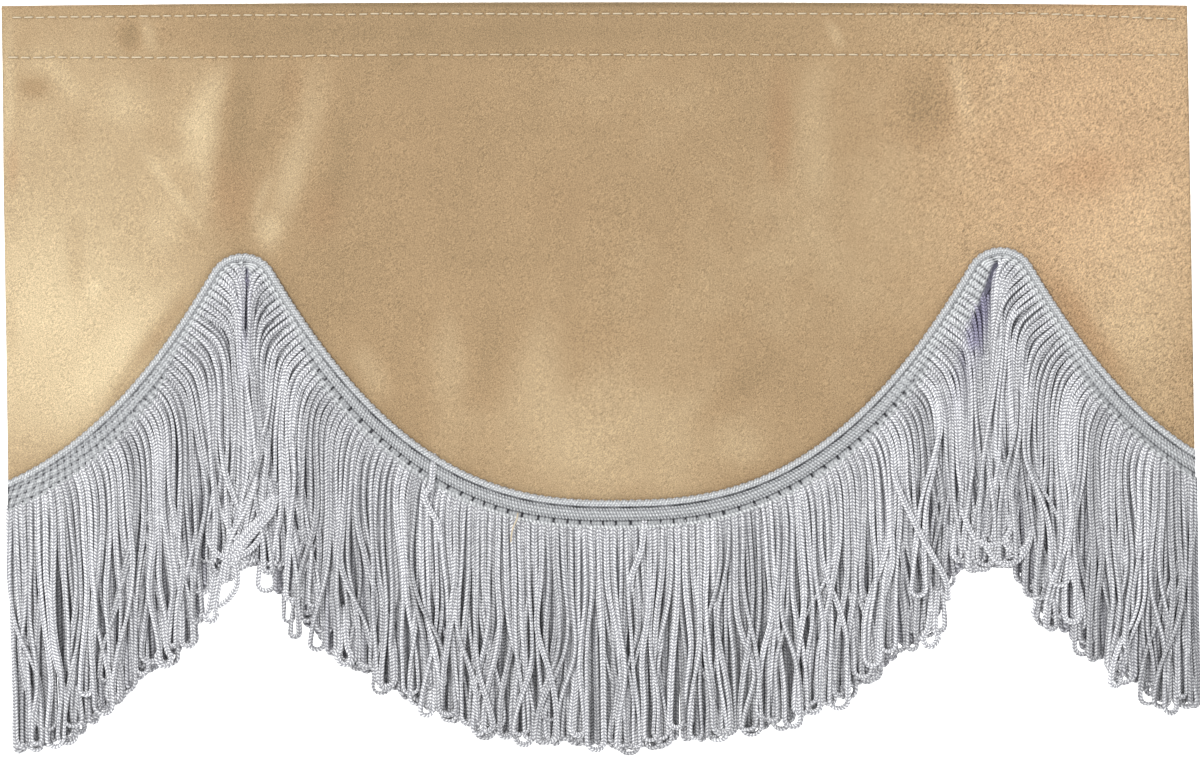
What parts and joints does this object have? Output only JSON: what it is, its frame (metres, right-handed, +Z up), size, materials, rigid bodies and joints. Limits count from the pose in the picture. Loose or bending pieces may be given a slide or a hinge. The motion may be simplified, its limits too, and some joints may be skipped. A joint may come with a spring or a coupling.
{
  "type": "truck window fringe valance",
  "caption": "Hanging cloth valance with a turned, double-stitched heading and a scalloped lower edge trimmed with a long looped fringe.",
  "frame": {"origin": "middle of the top edge, between the two layers of the heading", "axes": "+Z up, +X to the right along the top edge, -Y towards the front of the cloth"},
  "size_m": [0.367, 0.0086, 0.232],
  "materials": {
    "cloth": "gold-tan suede-effect plush with a soft sheen",
    "yarn": "silver-white knitted yarn with a silky shine"
  },
  "bodies": {
    "root": {"panel": "cloth", "fringe": "yarn"}
  },
  "joints": []
}
